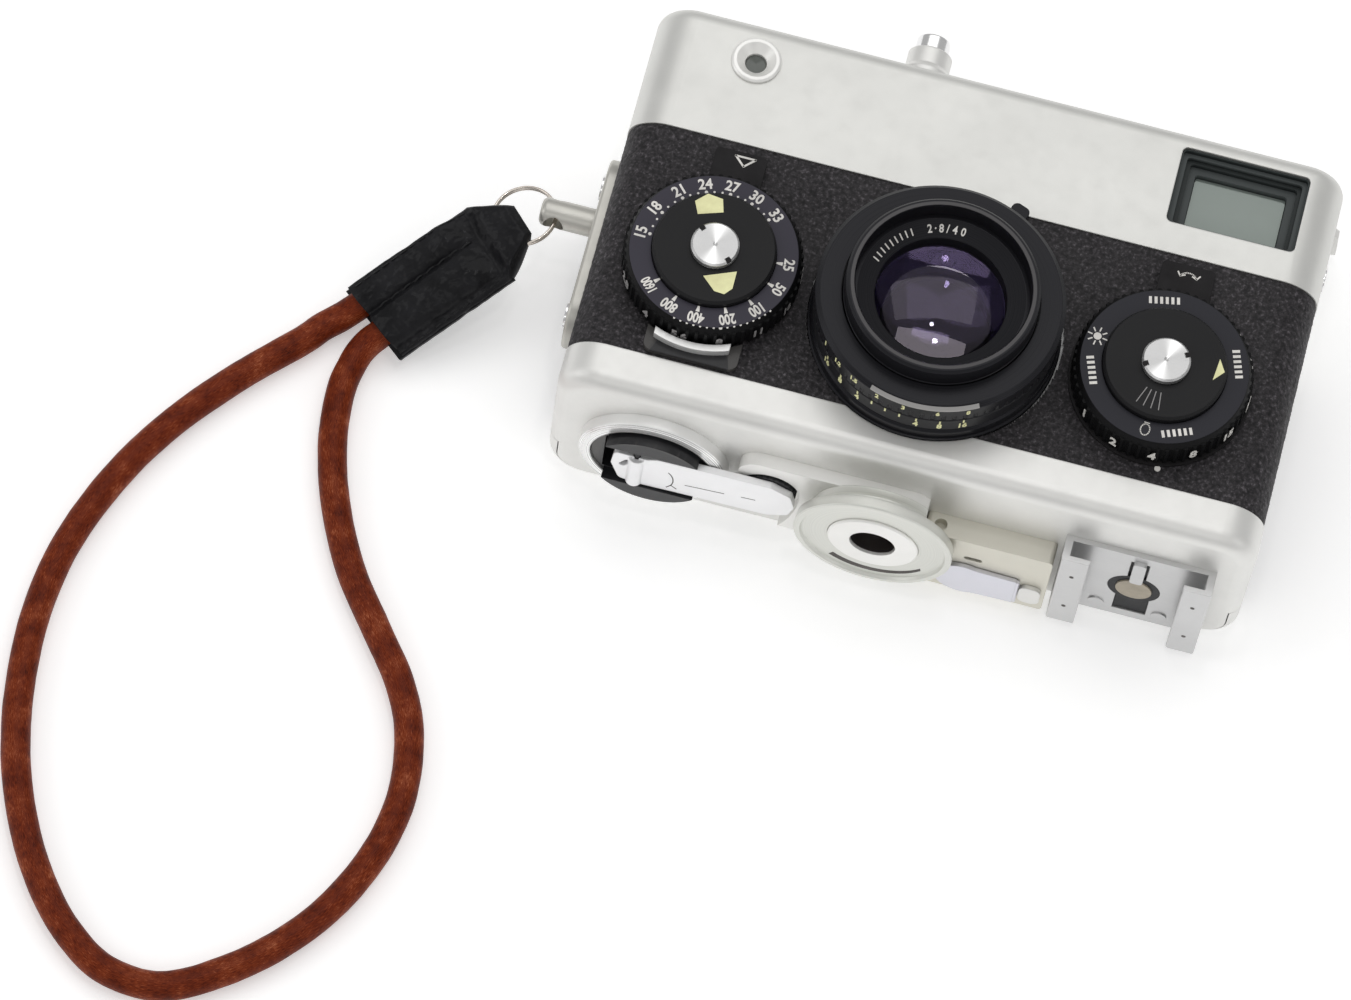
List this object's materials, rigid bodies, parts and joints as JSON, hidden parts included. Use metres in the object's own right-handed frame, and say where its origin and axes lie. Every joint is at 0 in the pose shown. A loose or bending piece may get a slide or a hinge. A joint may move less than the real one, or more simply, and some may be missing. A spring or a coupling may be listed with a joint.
{
  "type": "compact 35 mm camera with wrist strap",
  "caption": "Compact metal and leatherette camera with a collapsible lens, two front dials, a folding rewind crank and shoe on its base, and a looped leather wrist strap.",
  "frame": {"origin": "on the optical axis of the lens, in the plane of the camera's back, which is also the plane the strap lies on", "axes": "+Z out of the lens along the optical axis, +Y towards the top plate, +X to the right when looking at the lens"},
  "size_m": [0.1609, 0.1577, 0.0412],
  "materials": {
    "satin_silver": "satin, fine bead-blasted",
    "cream_nickel": "satin nickel, warm tone",
    "bright_chrome": "polished",
    "steel": "brushed",
    "black_leatherette": "pebble grain",
    "black_leather": "smooth, glossy",
    "brown_leather": "waxed round cord",
    "black_enamel": "satin black",
    "dial_grey": "satin dark grey",
    "black_anodised": "turned, black anodised",
    "black_plastic": "matt",
    "beige_plastic": "matt",
    "cast_alloy": "as cast, dark",
    "coated_glass": "polished, violet coating",
    "clear_glass": "polished",
    "brass": "turned"
  },
  "bodies": {
    "camera_body": {"top_cover": "satin_silver", "bottom_cover": "satin_silver", "side_screws": "bright_chrome", "main_casting": "cast_alloy", "front_leatherette": "black_leatherette", "film_gate": "black_enamel", "lens_flange": "black_enamel", "dial_index_tab": "black_enamel", "viewfinder_frame": "black_plastic", "viewfinder_glass": "clear_glass", "eyepiece_lens": "clear_glass", "light_cell_ring": "bright_chrome", "light_cell": "black_plastic", "meter_window": "clear_glass", "meter_movement": "brass", "battery": "steel", "button_collar": "satin_silver", "rewind_ring": "bright_chrome", "base_plate": "cream_nickel", "tripod_boss": "cream_nickel", "tripod_bush": "satin_silver", "counter_housing": "cream_nickel", "hot_shoe": "bright_chrome", "shoe_insulator": "black_plastic", "shoe_contact": "beige_plastic", "strap_plate": "satin_silver"},
    "back": {"back_cover": "satin_silver", "back_leatherette": "black_leatherette"},
    "pressure_plate": {"pressure_plate": "black_enamel"},
    "take_up_spool": {"take_up_spool": "black_plastic"},
    "film_sprocket": {"film_sprocket": "black_plastic"},
    "lens_slide": {"shutter_case": "black_enamel", "rear_lens_element": "coated_glass"},
    "lens_tube": {"lens_tube": "bright_chrome"},
    "focusing_ring": {"focusing_ring": "black_enamel"},
    "front_barrel": {"front_barrel": "black_anodised", "front_lens_element": "coated_glass"},
    "aperture_blade_1": {"aperture_blade_1": "steel"},
    "aperture_blade_2": {"aperture_blade_2": "steel"},
    "aperture_dial": {"aperture_dial": "dial_grey", "aperture_dial_cap": "bright_chrome"},
    "film_speed_disc": {"film_speed_disc": "black_enamel"},
    "shutter_speed_dial": {"shutter_speed_dial": "dial_grey", "shutter_dial_cap": "bright_chrome"},
    "film_type_disc": {"film_type_disc": "black_enamel"},
    "aperture_lock_lever": {"aperture_lock_lever": "black_enamel"},
    "rewind_release_lever": {"rewind_release_lever": "black_enamel"},
    "meter_needle": {"meter_needle": "brass"},
    "shutter_button": {"shutter_button": "bright_chrome"},
    "lens_release_button": {"lens_release_button": "bright_chrome"},
    "advance_lever": {"advance_lever": "satin_silver"},
    "rewind_drum": {"rewind_drum": "black_enamel"},
    "rewind_crank": {"rewind_crank": "satin_silver"},
    "crank_knob": {"crank_knob": "black_plastic"},
    "counter_wheel": {"counter_wheel": "black_plastic"},
    "latch_spindle": {"latch_spindle": "satin_silver"},
    "latch_key": {"latch_key": "satin_silver"},
    "split_ring": {"split_ring": "bright_chrome"},
    "wrist_strap": {"strap_sleeve": "black_leather", "strap_cord": "brown_leather"}
  },
  "joints": [
    {"name": "back_slide", "type": "slide", "parent": "camera_body", "child": "back", "axis": [0, -1, 0], "range_m": [0, 0.062]},
    {"name": "pressure_plate_travel", "type": "slide", "parent": "camera_body", "child": "pressure_plate", "axis": [0, 0, -1], "range_m": [0, 0.0004]},
    {"name": "lens_pull_out", "type": "slide", "parent": "camera_body", "child": "lens_slide", "axis": [0, 0, 1], "range_m": [0, 0.018]},
    {"name": "lens_lock_turn", "type": "hinge", "parent": "lens_slide", "child": "lens_tube", "pos_m": [0, 0, 0.02], "axis": [0, 0, 1], "range_deg": [0, 45]},
    {"name": "focus_turn", "type": "hinge", "parent": "lens_tube", "child": "focusing_ring", "pos_m": [0, 0, 0.036], "axis": [0, 0, 1], "range_deg": [0, 170]},
    {"name": "focus_travel", "type": "slide", "parent": "lens_tube", "child": "front_barrel", "axis": [0, 0, 1], "range_m": [0, 0.0018]},
    {"name": "aperture_blade_1_swing", "type": "hinge", "parent": "lens_slide", "child": "aperture_blade_1", "pos_m": [0.011, 0, 0.0228], "axis": [0, 0, 1], "range_deg": [-9.2, 6.2]},
    {"name": "aperture_blade_2_swing", "type": "hinge", "parent": "lens_slide", "child": "aperture_blade_2", "pos_m": [-0.011, 0, 0.0234], "axis": [0, 0, 1], "range_deg": [-9.2, 6.2]},
    {"name": "aperture_dial_turn", "type": "hinge", "parent": "camera_body", "child": "aperture_dial", "pos_m": [-0.0311, 0, 0.031], "axis": [0, 0, 1], "range_deg": [-90, 60]},
    {"name": "film_speed_turn", "type": "hinge", "parent": "aperture_dial", "child": "film_speed_disc", "pos_m": [-0.0311, 0, 0.031], "axis": [0, 0, 1], "range_deg": [-75, 75]},
    {"name": "shutter_speed_turn", "type": "hinge", "parent": "camera_body", "child": "shutter_speed_dial", "pos_m": [0.0313, 0, 0.031], "axis": [0, 0, 1], "range_deg": [-150, 150]},
    {"name": "film_type_turn", "type": "hinge", "parent": "shutter_speed_dial", "child": "film_type_disc", "pos_m": [0.0313, 0, 0.031], "axis": [0, 0, 1], "range_deg": [-180, 180]},
    {"name": "aperture_lock_press", "type": "slide", "parent": "camera_body", "child": "aperture_lock_lever", "axis": [0, -1, 0], "range_m": [0, 0.0012], "stiffness_N_per_m": 200},
    {"name": "rewind_release_turn", "type": "hinge", "parent": "camera_body", "child": "rewind_release_lever", "pos_m": [0.0313, 0, 0.031], "axis": [0, 0, 1], "range_deg": [0, 25]},
    {"name": "meter_needle_swing", "type": "hinge", "parent": "camera_body", "child": "meter_needle", "pos_m": [-0.034, 0.0348, 0.0186], "axis": [0, 1, 0], "range_deg": [-22, 22]},
    {"name": "shutter_button_press", "type": "slide", "parent": "camera_body", "child": "shutter_button", "axis": [0, -1, 0], "range_m": [0, 0.002], "stiffness_N_per_m": 300},
    {"name": "lens_release_press", "type": "slide", "parent": "camera_body", "child": "lens_release_button", "axis": [0, -1, 0], "range_m": [0, 0.0008], "stiffness_N_per_m": 300},
    {"name": "advance_lever_stroke", "type": "hinge", "parent": "camera_body", "child": "advance_lever", "pos_m": [0.0368, 0.0395, 0.0135], "axis": [0, 1, 0], "range_deg": [0, 125]},
    {"name": "take_up_spool_turn", "type": "hinge", "parent": "camera_body", "child": "take_up_spool", "pos_m": [0.0368, 0, 0.0135], "axis": [0, 1, 0], "range_deg": [0, 400]},
    {"name": "film_sprocket_turn", "type": "hinge", "parent": "camera_body", "child": "film_sprocket", "pos_m": [0.0252, 0, 0.009], "axis": [0, 1, 0], "range_deg": [0, 365]},
    {"name": "counter_wheel_turn", "type": "hinge", "parent": "camera_body", "child": "counter_wheel", "pos_m": [0.0115, -0.0235, 0.0086], "axis": [0, 1, 0], "range_deg": [0, 10]},
    {"name": "rewind_turn", "type": "hinge", "parent": "camera_body", "child": "rewind_drum", "pos_m": [-0.0325, -0.02, 0.0136], "axis": [0, 1, 0], "range_deg": [0, 310]},
    {"name": "crank_unfold", "type": "hinge", "parent": "rewind_drum", "child": "rewind_crank", "pos_m": [-0.0345, -0.0239, 0.0136], "axis": [0, 0, 1], "range_deg": [-160, 0]},
    {"name": "crank_knob_spin", "type": "hinge", "parent": "rewind_crank", "child": "crank_knob", "pos_m": [-0.0162, -0.0224, 0.0148], "axis": [0, 1, 0], "continuous": true},
    {"name": "latch_turn", "type": "hinge", "parent": "camera_body", "child": "latch_spindle", "pos_m": [0.0195, -0.024, 0.00675], "axis": [0, 1, 0], "range_deg": [0, 90]},
    {"name": "latch_key_fold", "type": "hinge", "parent": "latch_spindle", "child": "latch_key", "pos_m": [0.0195, -0.02485, 0.00675], "axis": [0, 0, 1], "range_deg": [0, 90]},
    {"name": "ring_swing", "type": "hinge", "parent": "camera_body", "child": "split_ring", "pos_m": [-0.0542, 0.0096, 0.0145], "axis": [0, 1, 0], "range_deg": [-50, 60]},
    {"name": "strap_swing", "type": "hinge", "parent": "split_ring", "child": "wrist_strap", "pos_m": [-0.06169, 0.00571, 0.01263], "axis": [-0.698, 0.716, 0], "range_deg": [-10, 10]}
  ],
  "couplings": [
    {"joint": "focus_turn", "follows": "focus_travel", "rad_per_m": 1648.4},
    {"joint": "aperture_blade_1_swing", "follows": "aperture_dial_turn", "ratio": 0.1},
    {"joint": "aperture_blade_2_swing", "follows": "aperture_dial_turn", "ratio": 0.1},
    {"joint": "take_up_spool_turn", "follows": "advance_lever_stroke", "ratio": 3.168},
    {"joint": "film_sprocket_turn", "follows": "advance_lever_stroke", "ratio": 2.88},
    {"joint": "counter_wheel_turn", "follows": "advance_lever_stroke", "ratio": 0.072}
  ]
}
